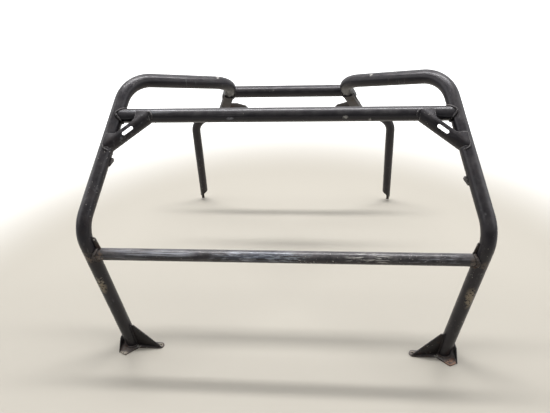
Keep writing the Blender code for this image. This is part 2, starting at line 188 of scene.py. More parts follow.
def trim(bm, point, normal):
    """Cuts away what lies on the side that the normal points to."""
    everything = list(bm.verts) + list(bm.edges) + list(bm.faces)
    bmesh.ops.bisect_plane(bm, geom=everything, plane_co=point, plane_no=normal,
                           clear_outer=True)


def add_wall(bm, wall):
    bmesh.ops.recalc_face_normals(bm, faces=bm.faces)
    bmesh.ops.solidify(bm, geom=list(bm.faces), thickness=wall)


def make_piece(name, bm, stands_for, crease=TUBE_CREASE):
    """Stores the mesh as a smooth-shaded object that rides on the frame."""
    mesh = bpy.data.meshes.new(name)
    bm.to_mesh(mesh)
    bm.free()
    mesh.shade_smooth()
    mesh.set_sharp_from_angle(angle=math.radians(crease))
    piece = bpy.data.objects.new(name, mesh)
    bpy.context.scene.collection.objects.link(piece)
    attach(piece, "root")
    if stands_for:
        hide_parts(stands_for)
    return piece


print("edges sharper than", TUBE_CREASE, "degrees stay sharp on a tube")

# %% [markdown]
# ## The two main tubes
#
# One length of 1.75 in tube on each side rises from the foot, leans back at the
# elbow, turns in over the top and dips at the rear. It could be one half with a
# Mirror modifier, but two pieces with their own names can be told apart and
# replaced. The foot is made too long and sawn off level with the top of the base
# plate, which cuts the leaning tube to a true oval.

# %% Main tubes
SAWN_OFF = 0.03               # spare length under the foot
tubes = []
for side in SIDES:
    drop = (DROP_AIM - INNER_CORNER).normalized()
    corners = [FOOT + (FOOT - ELBOW).normalized() * SAWN_OFF, ELBOW, TOP_CORNER,
               INNER_CORNER, INNER_CORNER + drop * DROP_LENGTH]
    skin = bend_tube([on_side(corner, side) for corner in corners], MAIN_BENDS, MAIN_R)
    trim(skin, (0.0, 0.0, BASE_T + GAP), (0.0, 0.0, -1.0))
    add_wall(skin, MAIN_WALL)
    piece = make_piece("bent_main_tube_" + side, skin, "main_tube_" + side)
    tubes.append(piece)
    print(piece.name, "faces:", len(piece.data.polygons))

# %% [markdown]
# ## The rear hoop
#
# The hoop is one length of thinner 1.5 in tube: two legs and the run between them.
# It crosses the middle, so it is bent in one go and not mirrored. Each leg end is
# sawn at a slant, and only that leg is given to the cut, because a cutting plane
# has no end and would go through the other leg as well.

# %% Rear hoop
LEG_CUT_HEIGHT = 0.058        # where the slanted cut meets the inner side of the leg
LEG_CUT_SLANT = math.radians(40.0)


def x_sum(item):
    """Its sign tells which side a vertex, edge or face is on."""
    verts = [item] if isinstance(item, bmesh.types.BMVert) else item.verts
    return sum(vert.co.x for vert in verts)


corners = [on_side(HOOP_FOOT, "left"), on_side(HOOP_CORNER, "left"), HOOP_CORNER, HOOP_FOOT]
skin = bend_tube(corners, (HOOP_BEND, HOOP_BEND), THIN_R)
for side, sign in SIDES.items():
    inner = Vector(((HOOP_FOOT.x - THIN_R) * sign, HOOP_FOOT.y, LEG_CUT_HEIGHT))
    downhill = Vector((-math.sin(LEG_CUT_SLANT) * sign, 0.0, -math.cos(LEG_CUT_SLANT)))
    everything = list(skin.verts) + list(skin.edges) + list(skin.faces)
    leg = [item for item in everything if x_sum(item) * sign > 0]
    bmesh.ops.bisect_plane(skin, geom=leg, plane_co=inner, plane_no=downhill,
                           clear_outer=True)
add_wall(skin, THIN_WALL)
hoop = make_piece("bent_rear_hoop", skin, "rear_hoop")
tubes.append(hoop)
print(hoop.name, "faces:", len(hoop.data.polygons))

# %% [markdown]
# ## Crossbars with fish-mouth ends
#
# A tube that meets another is notched so that its end hugs the other tube. The
# welder calls this a fish mouth. A Boolean cut would leave ragged triangles round
# the notch. Each point of the end ring is slid along the bar instead, until it
# touches the other tube, which gives the exact notch and keeps the quads.

# %% Notching helper
def slide_to_tube(point, line_point, line_direction, reach, inward):
    """Slides a point along X until it lies reach from the other tube's middle line."""
    along_x = Vector((1.0, 0.0, 0.0))
    slope = along_x - line_direction * along_x.dot(line_direction)
    offset = point - line_point
    offset = offset - line_direction * offset.dot(line_direction)
    half_b = slope.dot(offset) / slope.length_squared
    inside = half_b ** 2 - (offset.length_squared - reach ** 2) / slope.length_squared
    root = math.sqrt(max(inside, 0.0))
    return point + along_x * (-half_b + inward * root)


def notch_ends(bm, line_point, line_direction, reach):
    """Fits both ends of a bar along X to the two mirrored tubes."""
    rings = {}
    for side, sign in SIDES.items():
        ring = [vert for vert in bm.verts if vert.co.x * sign > 0 and vert.is_boundary]
        place = on_side(line_point, side)
        line = on_side(line_direction, side)
        for vert in ring:
            vert.co = slide_to_tube(vert.co, place, line, reach, -sign)
        rings[side] = ring
    return rings


print("a notch leaves a gap of", GAP * 1000, "mm for the weld")

# %% The three crossbars
LEG_LINE = (ELBOW - FOOT).normalized()
UPPER_LEG_LINE = (TOP_CORNER - ELBOW).normalized()
DROP_LINE = (DROP_AIM - INNER_CORNER).normalized()
CROSSBARS = {
    "upper_crossbar": (UPPER_BAR, MAIN_R, MAIN_WALL, ELBOW, UPPER_LEG_LINE),
    "lower_crossbar": (LOWER_BAR, THIN_R, THIN_WALL, FOOT, LEG_LINE),
    "rear_crossbar": (REAR_BAR, MAIN_R, MAIN_WALL, INNER_CORNER, DROP_LINE),
}
notch_rings = {}
for node, (end, radius, wall, line_point, line) in CROSSBARS.items():
    bm = bmesh.new()
    half = end.x - MAIN_R
    ring = first_ring(bm, Vector((-half, end.y, end.z)), Vector((1, 0, 0)), radius)
    push_straight(bm, ring, (2 * half, 0.0, 0.0))
    ends = notch_ends(bm, line_point, line, MAIN_R + GAP)
    middle = Vector((0.0, end.y, end.z))
    for side, verts in ends.items():
        order = sorted(verts, key=lambda vert: math.atan2(vert.co.z - middle.z,
                                                          vert.co.y - middle.y))
        notch_rings[node, side] = [vert.co.copy() for vert in order]
    add_wall(bm, wall)
    piece = make_piece("notched_" + node, bm, node)
    tubes.append(piece)
    print(piece.name, "length in mm:", round(piece.dimensions.x * 1000, 1))

# %% [markdown]
# ## Plates and folded sheet
#
# The plates are cut from flat bar and sheet, and their edges are never knife sharp:
# shearing and grinding round them a little, and paint thickens them. The solids
# have the right outlines and holes, so they aren't drawn again. A copy of each is
# merged, its flat triangles are joined back into whole faces, and its sharp edges
# get a small bevel that catches the light.

# %% Softened copies of the plates
SHARP = math.radians(38.0)    # an edge that folds more than this gets a bevel
FLAT = math.radians(1.0)      # faces that fold less than this become one
SAME_POINT = 0.00002
BEVEL_STEPS = 2
PLATE_CREASE = 50.0


def softened(node, name, width):
    """A copy of a solid whose sharp edges are rounded by the given width."""
    bm = bmesh.new()
    bm.from_mesh(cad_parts[node].data)
    bmesh.ops.remove_doubles(bm, verts=bm.verts, dist=SAME_POINT)
    bmesh.ops.dissolve_limit(bm, angle_limit=FLAT, verts=bm.verts, edges=bm.edges)
    sharp = [edge for edge in bm.edges
             if edge.is_manifold and edge.calc_face_angle(0.0) > SHARP]
    bmesh.ops.bevel(bm, geom=sharp, offset=width, offset_type="OFFSET", affect="EDGES",
                    segments=BEVEL_STEPS, profile=0.5, material=-1, clamp_overlap=True)
    return make_piece(name, bm, node, crease=PLATE_CREASE)


# %% The nine kinds of plate
# node, then the name of its softened copy, its paint slot and its bevel width
PLATES = {
    "foot_base": ("base_plate", "foot_paint", 0.0008),
    "foot_side": ("side_plate", "foot_paint", 0.0007),
    "foot_gusset": ("foot_web", "foot_paint", 0.0007),
    "bar_tab": ("tab_plate", "tab_paint", 0.0006),
    "leg_ear": ("ear_plate", "tab_paint", 0.0006),
    "rear_tongue": ("tongue_strip", "tongue_paint", 0.0008),
    "bracket_web": ("fin_plate", "bracket_paint", 0.0006),
    "corner_gusset": ("folded_gusset", "sheet_paint", 0.0005),
    "drop_bracket": ("folded_bracket", "bracket_paint", 0.0005),
}
plates = {}
for node, (name, slot, width) in PLATES.items():
    for side in SIDES:
        piece = softened(node + "_" + side, name + "_" + side, width)
        plates[node, side] = piece
    print(name, "faces:", len(piece.data.polygons))

# %% [markdown]
# ## Weld beads
#
# Each joint is closed by a bead that the welder lays down in small overlapping
# puddles, so it looks like a row of fish scales. A bump in the material would only
# shade a plain rod, so the ripple is in the mesh: a ring of eight points is carried
# along the joint, and its size rises and falls with every puddle.

# %% Points along a bead
RIPPLE = 0.0036               # length of one puddle
SWELL = (1.0, 1.12, 0.86)     # how thick the rings of one puddle are
STATIONS = len(SWELL)         # rings in one puddle


def evenly(path, spacing, closed):
    """Points at even distances along the path."""
    line = list(path) + [path[0]] if closed else list(path)
    total = sum((b - a).length for a, b in zip(line, line[1:]))
    count = max(3, round(total / spacing))
    step = total / count
    points, walked, target = [line[0].copy()], 0.0, step
    for a, b in zip(line, line[1:]):
        length = (b - a).length
        while length > 1e-9 and target <= walked + length and len(points) < count:
            points.append(a.lerp(b, (target - walked) / length))
            target += step
        walked += length
    if not closed:
        points.append(line[-1].copy())
    return points


print("rings in one puddle:", STATIONS)

# %% Bead helper
BEAD_SIDES = 8
UNEVEN = (0.88, 1.12)         # how much thinner or thicker one puddle may be
END_TAPER = 0.45              # how thick an open bead is at its two ends
ALL_SMOOTH = 180.0
beads = {}


def bead(name, path, size, closed=False):
    """Adds a rippled weld bead of the given radius along the path."""
    chance = random.Random(len(beads))
    points = evenly(path, RIPPLE / STATIONS, closed)
    count = len(points)
    facing = Vector((0.0, 0.0, 1.0)).to_track_quat("Z", "Y")
    heading = Vector((0.0, 0.0, 1.0))
    bm = bmesh.new()
    ring, place_before, opening = None, None, None
    for index, point in enumerate(points):
        after = points[(index + 1) % count] if closed else points[min(index + 1, count - 1)]
        before = points[index - 1] if closed or index else points[0]
        tangent = (after - before).normalized()
        facing = heading.rotation_difference(tangent) @ facing
        heading = tangent
        if index % STATIONS == 0:
            puddle = chance.uniform(*UNEVEN)
        swell = SWELL[index % STATIONS] * puddle
        if not closed and index in (0, count - 1):
            swell *= END_TAPER
        place = Matrix.LocRotScale(point, facing, Vector((1, 1, 1)) * size * swell)
        if ring is None:
            ring = bmesh.ops.create_circle(bm, segments=BEAD_SIDES, radius=1.0,
                                           matrix=place)["verts"]
            opening = list(ring)
        else:
            grown = bmesh.ops.extrude_edge_only(bm, edges=ring_edges(ring))
            ring = only_verts(grown["geom"])
            bmesh.ops.transform(bm, matrix=place @ place_before.inverted(), verts=ring)
        place_before = place
    if closed:
        bmesh.ops.bridge_loops(bm, edges=ring_edges(ring) + ring_edges(opening))
    else:
        bmesh.ops.edgeloop_fill(bm, edges=ring_edges(ring))
        bmesh.ops.edgeloop_fill(bm, edges=ring_edges(opening))
    bmesh.ops.recalc_face_normals(bm, faces=bm.faces)
    beads[name] = make_piece(name, bm, None, crease=ALL_SMOOTH)


print("a bead is a ring of", BEAD_SIDES, "points")

# %% [markdown]
# ### Beads round the notched ends
#
# The end ring that was notched above is the line of the joint, so it is the path of
# the bead as well. The ring is moved a little away from both tubes, which leaves
# half of the bead standing in the corner between them.

# %% Bar end beads
BAR_BEADS = {"upper_crossbar": 0.0034, "lower_crossbar": 0.0046, "rear_crossbar": 0.0036}
OUT_FROM_BAR = 0.25           # how far the bead moves, as a share of its size
IN_FROM_LEG = 0.45
for (node, side), ring in notch_rings.items():
    size = BAR_BEADS[node]
    end = CROSSBARS[node][0]
    middle = Vector((0.0, end.y, end.z))
    path = []
    for point in ring:
        outward = Vector((0.0, point.y - middle.y, point.z - middle.z)).normalized()
        inward = Vector((-SIDES[side], 0.0, 0.0))
        path.append(point + outward * size * OUT_FROM_BAR + inward * size * IN_FROM_LEG)
    bead("bead_" + node + "_" + side, path, size, closed=True)
print("beads so far:", len(beads))

# %% [markdown]
# ### Beads round the gusset cheeks
#
# Each folded gusset lies with a flat cheek on the front of the bar, another on the
# front of the leg, and two more behind. A thin bead runs round the edge of each
# cheek. Its line is given flat, as distances along and across the tube, and is then
# lifted to the round of the tube, so one line serves all eight cheeks.

# %% Cheek beads
CHEEK_BEAD = 0.0023
CHEEK_LIFT = 0.0012           # how far the middle of the bead stands off the tube
ROUND_END = 0.98              # keeps the line on the tube, as a share of its radius
# distances along the tube from the corner, and across it
CHEEK_LINE = ((0.0712, 0.017), (0.0708, 0.006), (0.0710, -0.0040), (0.0875, -0.0043),
              (0.1040, -0.0040), (0.1150, -0.0005), (0.1215, 0.0070), (0.1243, 0.017))


def gusset_axes(side):
    """Directions along the bar, down the leg, and out of the front of the gusset."""
    along_bar = Vector((-SIDES[side], 0.0, 0.0))
    down_leg = on_side(-UPPER_LEG_LINE, side)
    front = along_bar.cross(down_leg).normalized()
    if front.y > 0:
        front = -front
    return along_bar, down_leg, front


for side in SIDES:
    along_bar, down_leg, front = gusset_axes(side)
    corner = on_side(UPPER_BAR, side)
    # the bar and the leg don't meet at a right angle, so each cheek has its own frame
    for label, run, towards in (("bar", along_bar, down_leg), ("leg", down_leg, along_bar)):
        square = (towards - run * towards.dot(run)).normalized()
        lean = towards.dot(square)
        for face, sign in (("front", 1.0), ("back", -1.0)):
            path = []
            for along, across in CHEEK_LINE:
                drop_off = min(abs(across * lean), MAIN_R * ROUND_END)
                height = math.sqrt(MAIN_R ** 2 - drop_off ** 2)
                path.append(corner + run * along + towards * across
                            + front * sign * (height + CHEEK_LIFT))
            bead("bead_cheek_" + label + "_" + face + "_" + side, path, CHEEK_BEAD)
print("beads so far:", len(beads))

# %% [markdown]
# ### Beads at the feet
#
# The foot carries most of the load, so it is welded all round: the leg to the base,
# the upright web to the leg and to the base, and the side plate to the base. Each
# path is worked out from where the tube and the plates meet, so that it follows the
# leaning leg and lies on its joint.

# %% Sizes of the foot beads
LEG_BEAD = 0.0032             # radius of the bead round the leg
WEB_BEAD = 0.0021
WEB_LEG_BEAD = 0.0026
SIDE_BEAD = 0.0022
OFF_TUBE = 0.0008             # how far the middle of a bead stands off each surface
OFF_WEB = 0.0008
OFF_PLATE = 0.0010
LEG_LIFT = 0.0012
ON_BASE = BASE_T + 0.0006
LEG_POINTS = 48
WEB_LEG = Vector((0.5530, -0.0062 - MID_Y, 0.0))
WEB_TIP = Vector((0.4360, -0.0197 - MID_Y, 0.0))
WEB_T = 0.004
WEB_RUN = (0.010, 0.085)      # where the bead along the web starts and ends
WEB_CLIMB = (0.010, 0.040, 0.070, 0.098)
SIDE_INSET = (0.006, 0.004)   # how far the bead stops short, in front and behind
print("the bead round the leg is", LEG_BEAD * 2000, "mm thick")


# %% Paths of the foot beads
def leg_path(side, line):
    """Round the leg, where its skin meets the top of the base."""
    floor_point = on_side(FOOT, side) + line * ((BASE_T + GAP) / line.z)
    square = Vector((1.0, 0.0, -line.x / line.z)).normalized()
    other = line.cross(square)
    ring = []
    for index in range(LEG_POINTS):
        angle = math.tau * index / LEG_POINTS
        spoke = square * math.cos(angle) + other * math.sin(angle)
        point = floor_point + spoke * (MAIN_R + OFF_TUBE)
        ring.append(point - line * ((point.z - BASE_T - LEG_LIFT) / line.z))
    return ring


def climb_path(side, line, tip, run, across):
    """Up the leg, where the web's front face runs into the round of the tube."""
    path = []
    for height in WEB_CLIMB:
        middle = on_side(FOOT, side) + line * (height / line.z)
        start = Vector((middle.x, middle.y, height))
        ahead = (start - tip).dot(across)
        half = math.sqrt(max(MAIN_R ** 2 - ahead ** 2, 0.0))
        on_face = start - across * ahead - run * half
        path.append(on_face + across * OFF_PLATE - run * OFF_TUBE)
    return path


# %% Foot beads
for side, sign in SIDES.items():
    line = on_side(LEG_LINE, side)
    bead("bead_leg_base_" + side, leg_path(side, line), LEG_BEAD,
         closed=True)

    tip, leg = on_side(WEB_TIP, side), on_side(WEB_LEG, side)
    run = (leg - tip).normalized()
    across = Vector((-run.y, run.x, 0.0))
    across = -across if across.y > 0 else across
    lift = Vector((0.0, 0.0, ON_BASE))
    for face, shift in (("front", OFF_WEB), ("back", -WEB_T - OFF_WEB)):
        path = [tip + run * along + across * shift + lift for along in WEB_RUN]
        bead("bead_web_base_" + face + "_" + side, path, WEB_BEAD)
    path = climb_path(side, line, tip, run, across)
    bead("bead_web_leg_" + side, path, WEB_LEG_BEAD)

    low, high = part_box("foot_side_" + side)
    x = (low.x if side == "right" else high.x) - sign * OFF_PLATE
    path = [Vector((x, low.y + SIDE_INSET[0], ON_BASE)),
            Vector((x, high.y - SIDE_INSET[1], ON_BASE))]
    bead("bead_side_base_" + side, path, SIDE_BEAD)
print("beads so far:", len(beads))

# %% [markdown]
# ### Beads on the small pieces
#
# The tabs, the fins and the drop brackets have short beads along the edges that
# touch a tube. The ends of a bead are found from the box of the solid piece, or for
# a bracket, which lies at a slant, from the middle line of the tube above it.

# %% Sizes of the small beads
TAB_BEAD = 0.0026
FIN_BEAD = 0.0017
FIN_INSET = 0.004
CHANNEL_BEAD = 0.0022         # along the two top edges of the drop bracket
CHANNEL_HALF = 0.0195         # from the tube's middle line, sideways and down
CHANNEL_BELOW = 0.0105
CHANNEL_RUN = (0.098, 0.141)  # and along it
LOW_BEAD = 0.0026             # across the bottom end of the drop bracket
LOW_HALF = 0.018
LOW_BELOW = 0.010
LOW_SHORT = THIN_R + 0.002    # how far short of the hoop's middle line it lies


def short_bead(name, start, end, size):
    bead(name, [start, start.lerp(end, 0.5), end], size)


print("short beads are", FIN_BEAD * 2000, "to", TAB_BEAD * 2000, "mm thick")

# %% Small beads
for side, sign in SIDES.items():
    low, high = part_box("bar_tab_" + side)
    bar_top = LOWER_BAR.z + THIN_R
    middle_y = (low.y + high.y) / 2
    outer, inner = (low.x, high.x) if side == "left" else (high.x, low.x)
    short_bead("bead_tab_bar_" + side, Vector((outer, middle_y, bar_top)),
               Vector((inner, middle_y, bar_top)), TAB_BEAD)

    low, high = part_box("bracket_web_" + side)
    top = HOOP_CORNER.z + THIN_R
    for face, y in (("front", low.y), ("back", high.y)):
        short_bead("bead_fin_" + face + "_" + side, Vector((low.x + FIN_INSET, y, top)),
                   Vector((high.x - FIN_INSET, y, top)), FIN_BEAD)

    # across the top of the channel, where it lies under the dipping tube
    start, line = on_side(INNER_CORNER, side), on_side(DROP_LINE, side)
    across = Vector((1.0, 0.0, 0.0))
    across = (across - line * across.dot(line)).normalized()
    up = across.cross(line)
    up = up if up.z > 0 else -up
    for label, shift in (("outer", sign), ("inner", -sign)):
        edge = start + across * shift * CHANNEL_HALF - up * CHANNEL_BELOW
        short_bead("bead_channel_" + label + "_" + side, edge + line * CHANNEL_RUN[0],
                   edge + line * CHANNEL_RUN[1], CHANNEL_BEAD)
    bottom = on_side(DROP_AIM, side) - line * LOW_SHORT - up * LOW_BELOW
    short_bead("bead_channel_foot_" + side, bottom - across * LOW_HALF,
               bottom + across * LOW_HALF, LOW_BEAD)
print("beads in all:", len(beads))

# %% [markdown]
# ## Mixing the paint
#
# Every finish here is the same story told in different amounts: black paint that
# varies a little in tone, dust on whatever faces up, which also paints the tops
# lighter as a painted highlight, scratches that run along the tube, chips down to
# primer, worn edges and some rust. One recipe with a few amounts keeps the pieces
# alike, as they are on the real rack.

# %% Node helpers
class Recipe:
    """A node material that is put together one layer at a time."""

    def __init__(self, name):
        self.material = bpy.data.materials.new(name)
        self.material.use_nodes = True
        self.tree = self.material.node_tree
        self.shader = self.tree.nodes["Principled BSDF"]
        self.place = self.tree.nodes.new("ShaderNodeTexCoord").outputs["Object"]
        self.normal = self.tree.nodes.new("ShaderNodeNewGeometry").outputs["Normal"]

    def link(self, output, socket):
        self.tree.links.new(output, socket)

    def math(self, operation, first, second=0.0):
        node = self.tree.nodes.new("ShaderNodeMath")
        node.operation = operation
        node.use_clamp = operation != "SUBTRACT"
        for socket, value in zip(node.inputs, (first, second)):
            if isinstance(value, (int, float)):
                socket.default_value = value
            else:
                self.link(value, socket)
        return node.outputs[0]

    def spread(self, value, low, high, to_low=0.0, to_high=1.0):
        """Stretches low..high to to_low..to_high, with soft ends."""
        node = self.tree.nodes.new("ShaderNodeMapRange")
        node.interpolation_type = "SMOOTHSTEP"
        for socket, number in zip(list(node.inputs)[1:5], (low, high, to_low, to_high)):
            socket.default_value = number
        self.link(value, node.inputs["Value"])
        return node.outputs["Result"]

    def moved(self, scale=(1, 1, 1), shift=(0, 0, 0)):
        """Object coordinates, stretched and then moved."""
        node = self.tree.nodes.new("ShaderNodeMapping")
        node.inputs["Scale"].default_value = scale
        node.inputs["Location"].default_value = shift
        self.link(self.place, node.inputs["Vector"])
        return node.outputs["Vector"]

    def noise(self, scale, detail=4.0, roughness=0.55, stretch=None, shift=(0, 0, 0)):
        node = self.tree.nodes.new("ShaderNodeTexNoise")
        node.inputs["Scale"].default_value = scale
        node.inputs["Detail"].default_value = detail
        node.inputs["Roughness"].default_value = roughness
        self.link(self.moved(stretch or (1, 1, 1), shift), node.inputs["Vector"])
        return node.outputs["Fac"]

    def layer(self, under, colour, amount):
        """Lays a colour over what is there, where amount says."""
        node = self.tree.nodes.new("ShaderNodeMix")
        node.data_type = "RGBA"
        self.link(amount, node.inputs["Factor"])
        for socket, value in ((node.inputs["A"], under), (node.inputs["B"], colour)):
            if isinstance(value, tuple):
                socket.default_value = value
            else:
                self.link(value, socket)
        return node.outputs["Result"]


print("a recipe reads Object coordinates and the surface direction")

# %% [markdown]
# ### Where things happen on the surface
#
# The edge mask compares the surface direction with one that the Bevel node averages
# over about a millimetre. The two differ only along an edge, which is where paint
# wears through first. A mark is a soft ball round one point of the rack. Broken up
# by noise, it places the one-off scuffs that a load has left, and two painted
# highlight lines on the bars, and needs no painted image or UV map.

# %% Masks for edges, upward faces and single marks
EDGE_RADIUS = 0.0012
EDGE_SAMPLES = 6
WORN_TURN, WHOLE_TURN = 0.90, 0.995    # how well the two directions agree
BALL_CORE = 0.35                       # the share of a ball that is not faded


def edge_mask(recipe):
    soft = recipe.tree.nodes.new("ShaderNodeBevel")
    soft.samples = EDGE_SAMPLES
    soft.inputs["Radius"].default_value = EDGE_RADIUS
    compare = recipe.tree.nodes.new("ShaderNodeVectorMath")
    compare.operation = "DOT_PRODUCT"
    recipe.link(soft.outputs["Normal"], compare.inputs[0])
    recipe.link(recipe.normal, compare.inputs[1])
    return recipe.spread(compare.outputs["Value"], WORN_TURN, WHOLE_TURN, 1.0, 0.0)


def facing_up(recipe, low, high):
    split = recipe.tree.nodes.new("ShaderNodeSeparateXYZ")
    recipe.link(recipe.normal, split.inputs[0])
    return recipe.spread(split.outputs["Z"], low, high)


def ball(recipe, centre, size):
    """1 round the centre, fading to 0 at size metres away along each axis."""
    scale = tuple(1.0 / value for value in size)
    shift = tuple(-c * s for c, s in zip(centre, scale))
    length = recipe.tree.nodes.new("ShaderNodeVectorMath")
    length.operation = "LENGTH"
    recipe.link(recipe.moved(scale, shift), length.inputs[0])
    return recipe.spread(length.outputs["Value"], BALL_CORE, 1.0, 1.0, 0.0)


print("paint wears within", EDGE_RADIUS * 1000, "mm of an edge")

# %% [markdown]
# ### The layers of wear
#
# Each kind of wear is a mask between 0 and 1: noise at the size of that wear, cut
# down to the part that counts, times an amount. Scratches are noise stretched along
# the tube, dust lies on what looks up and doubles as a painted highlight on the
# tops, rust blooms in clouds, and chips are small hard-edged flakes that come in
# fields. Noise in 3D has no seams and runs on from one piece to the next.

# %% Masks for each kind of wear
MARK_EDGE = 0.10              # how softly the broken parts of a mark end


def scratch_mask(recipe, grain, seed, shift, amount):
    stretched = recipe.noise(scale=1.0, detail=5.0, roughness=0.62, stretch=grain,
                             shift=shift)
    patchy = recipe.noise(scale=9.0, detail=3.0, roughness=0.6,
                          shift=(seed + 3.0, 0.4, seed))
    streaks = recipe.math("MULTIPLY", recipe.spread(stretched, low=0.56, high=0.70),
                          recipe.spread(patchy, low=0.46, high=0.66))
    return recipe.math("MULTIPLY", streaks, amount)


# dust on faces that look up, which is also a painted highlight that lightens the tops
def dust_and_sheen_mask(recipe, seed, amount):
    cloud = recipe.noise(scale=26.0, detail=6.0, roughness=0.68, shift=(0.3, seed, 2.0))
    dust_and_sheen = recipe.math("MULTIPLY", facing_up(recipe, low=-0.15, high=0.95),
                       recipe.spread(cloud, low=0.34, high=0.72, to_low=0.25))
    return recipe.math("MULTIPLY", dust_and_sheen, amount)


def rust_mask(recipe, seed, amount):
    bloom = recipe.noise(scale=34.0, detail=7.0, roughness=0.72, shift=(seed, 5.0, 1.0))
    return recipe.math("MULTIPLY", recipe.spread(bloom, low=0.50, high=0.66), amount)


def chip_mask(recipe, seed, amount):
    flakes = recipe.noise(scale=150.0, detail=2.0, roughness=0.5, shift=(1.0, seed, 0.0))
    fields = recipe.noise(scale=7.0, detail=2.0, roughness=0.5, shift=(seed, 9.0, 4.0))
    chips = recipe.math("MULTIPLY", recipe.spread(flakes, low=0.685, high=0.715),
                        recipe.spread(fields, low=0.50, high=0.62))
    return recipe.math("MULTIPLY", chips, amount)


def bare_edge_mask(recipe, seed, amount):
    rub = recipe.noise(scale=60.0, detail=4.0, roughness=0.6, shift=(seed, 2.0, 7.0))
    edges = recipe.math("MULTIPLY", edge_mask(recipe),
                        recipe.spread(rub, low=0.38, high=0.62))
    return recipe.math("MULTIPLY", edges, amount)


def mark_mask(recipe, centre, size, strength, texture, broken_from):
    broken = recipe.noise(scale=1.0, detail=4.0, roughness=0.65, stretch=texture,
                          shift=(0.0, centre[0], 0.0))
    mark = recipe.math("MULTIPLY", ball(recipe, centre, size),
                       recipe.spread(broken, broken_from, broken_from + MARK_EDGE))
    return recipe.math("MULTIPLY", mark, strength)


print("kinds of wear: scratches, dust, rust, chips, bare edges and marks")

# %% [markdown]
# ### The paint itself
#
# Semi-gloss black paint is a dark colour under a thin clear skin, so it is a rough
# base with a coat over it. Its tone drifts a little over the tube. The wear is laid
# over it from the inside out. The same masks make it duller where it is dusty,
# scratched or rusty, and sink it at each chip.

# %% Gloss and relief
ORANGE_PEEL = 0.35            # how deep it is next to a chip
RELIEF, RELIEF_DEPTH = 0.22, 0.0006


def set_roughness(recipe, shift, dull, dust_and_sheen, streaks, rust):
    sheen = recipe.noise(scale=42.0, detail=4.0, roughness=0.6, shift=shift)
    rough = recipe.spread(sheen, 0.3, 0.7, dull - 0.05, dull + 0.09)
    for mask, duller in ((dust_and_sheen, 0.35), (streaks, 0.25), (rust, 0.45)):
        rough = recipe.math("ADD", rough, recipe.math("MULTIPLY", mask, duller))
    recipe.link(rough, recipe.shader.inputs["Roughness"])


def set_relief(recipe, chips):
    peel = recipe.noise(scale=420.0, detail=2.0, roughness=0.5)
    relief = recipe.math("SUBTRACT", recipe.math("MULTIPLY", peel, ORANGE_PEEL), chips)
    bump = recipe.tree.nodes.new("ShaderNodeBump")
    bump.inputs["Strength"].default_value = RELIEF
    bump.inputs["Distance"].default_value = RELIEF_DEPTH
    recipe.link(relief, bump.inputs["Height"])
    recipe.link(bump.outputs["Normal"], recipe.shader.inputs["Normal"])


print("relief depth in mm:", RELIEF_DEPTH * 1000)

# %% The paint recipe
SCRATCHED = (0.20, 0.195, 0.20, 1.0)
# pale grey of the dust, and of the painted highlight it lays on the tops
DUST_AND_SHEEN = (0.235, 0.220, 0.215, 1.0)
RUST = (0.115, 0.048, 0.020, 1.0)
PRIMER = (0.46, 0.43, 0.39, 1.0)
STEEL = (0.40, 0.39, 0.39, 1.0)
SHADER = {"IOR": 1.38, "Specular Tint": (0.96, 0.93, 1.0, 1.0),
          "Coat Roughness": 0.16, "Coat IOR": 1.45}
DEEPER, PALER = 0.72, 1.45    # how far the tone drifts to each side of the base colour


def paint(name, base, grain, dust_and_sheen_amount, scratched, chipped, worn=0.0, rusty=0.0, dull=0.38,
          coat=0.0, marks=(), seed=0.0):
    recipe = Recipe(name)
    shift = (seed, seed * 1.7, seed * 0.6)
    tone = recipe.noise(scale=6.0, detail=4.0, roughness=0.6, shift=shift)
    deep = tuple(channel * DEEPER for channel in base) + (1.0,)
    pale = tuple(channel * PALER for channel in base) + (1.0,)
    colour = recipe.layer(deep, pale, recipe.spread(tone, low=0.32, high=0.68))

    streaks = scratch_mask(recipe, grain, seed, shift, scratched)
    # dust on upward faces, also a painted highlight that lightens the tops
    dust_and_sheen = dust_and_sheen_mask(recipe, seed, dust_and_sheen_amount)
    rust = rust_mask(recipe, seed, rusty)
    chips = chip_mask(recipe, seed, chipped)
    edges = bare_edge_mask(recipe, seed, worn)
    for layer_colour, mask in ((SCRATCHED, streaks), (DUST_AND_SHEEN, dust_and_sheen), (RUST, rust),
                               (PRIMER, chips), (STEEL, edges)):
        colour = recipe.layer(colour, layer_colour, mask)
    for centre, size, mark_colour, strength, texture, broken_from in marks:
        mask = mark_mask(recipe, centre, size, strength, texture, broken_from)
        colour = recipe.layer(colour, mark_colour + (1.0,), mask)
    recipe.link(colour, recipe.shader.inputs["Base Color"])

    for socket, value in SHADER.items():
        recipe.shader.inputs[socket].default_value = value
    recipe.shader.inputs["Coat Weight"].default_value = coat
    set_roughness(recipe, shift, dull, dust_and_sheen, streaks, rust)
    set_relief(recipe, chips)
    return recipe.material


print("refraction of the paint:", SHADER["IOR"], "and of its coat:", SHADER["Coat IOR"])

# %% [markdown]
# ## The finishes of this rack
#
# The scratches on a crossbar run along X, and those on a leg run up and down, so
# each group of pieces has its own grain. The lower bar has been stood on and
# dragged over, and carries the long silver streaks; one silver line high on its
# front is a painted highlight, as is one along the top of the upper bar. The single
# marks come first.

# %% Colours and grains of the marks
SILVER = (0.42, 0.43, 0.47)
WHITISH = (0.55, 0.53, 0.49)
KHAKI = (0.26, 0.21, 0.14)
BLUISH = (0.20, 0.24, 0.32)
PALE_BLUE = (0.38, 0.41, 0.45)
PALE_TAN = (0.40, 0.35, 0.28)
BURNT = (0.150, 0.108, 0.076)
COPPER = (0.36, 0.21, 0.14)
# how often the noise repeats along X, Y and Z, so a low number gives a long mark
STREAK = (7.0, 330.0, 330.0)
FLECK = (26.0, 240.0, 240.0)
SPECKLE = (130.0, 130.0, 130.0)
print("a streak is", round(STREAK[1] / STREAK[0]), "times as long as it is wide")

# %% Marks on the bars, legs and feet
BAR_FRONT = LOWER_BAR.y - THIN_R * 0.7     # on the front of the lower bar, above its middle
BAR_HIGH = LOWER_BAR.z + THIN_R * 0.5
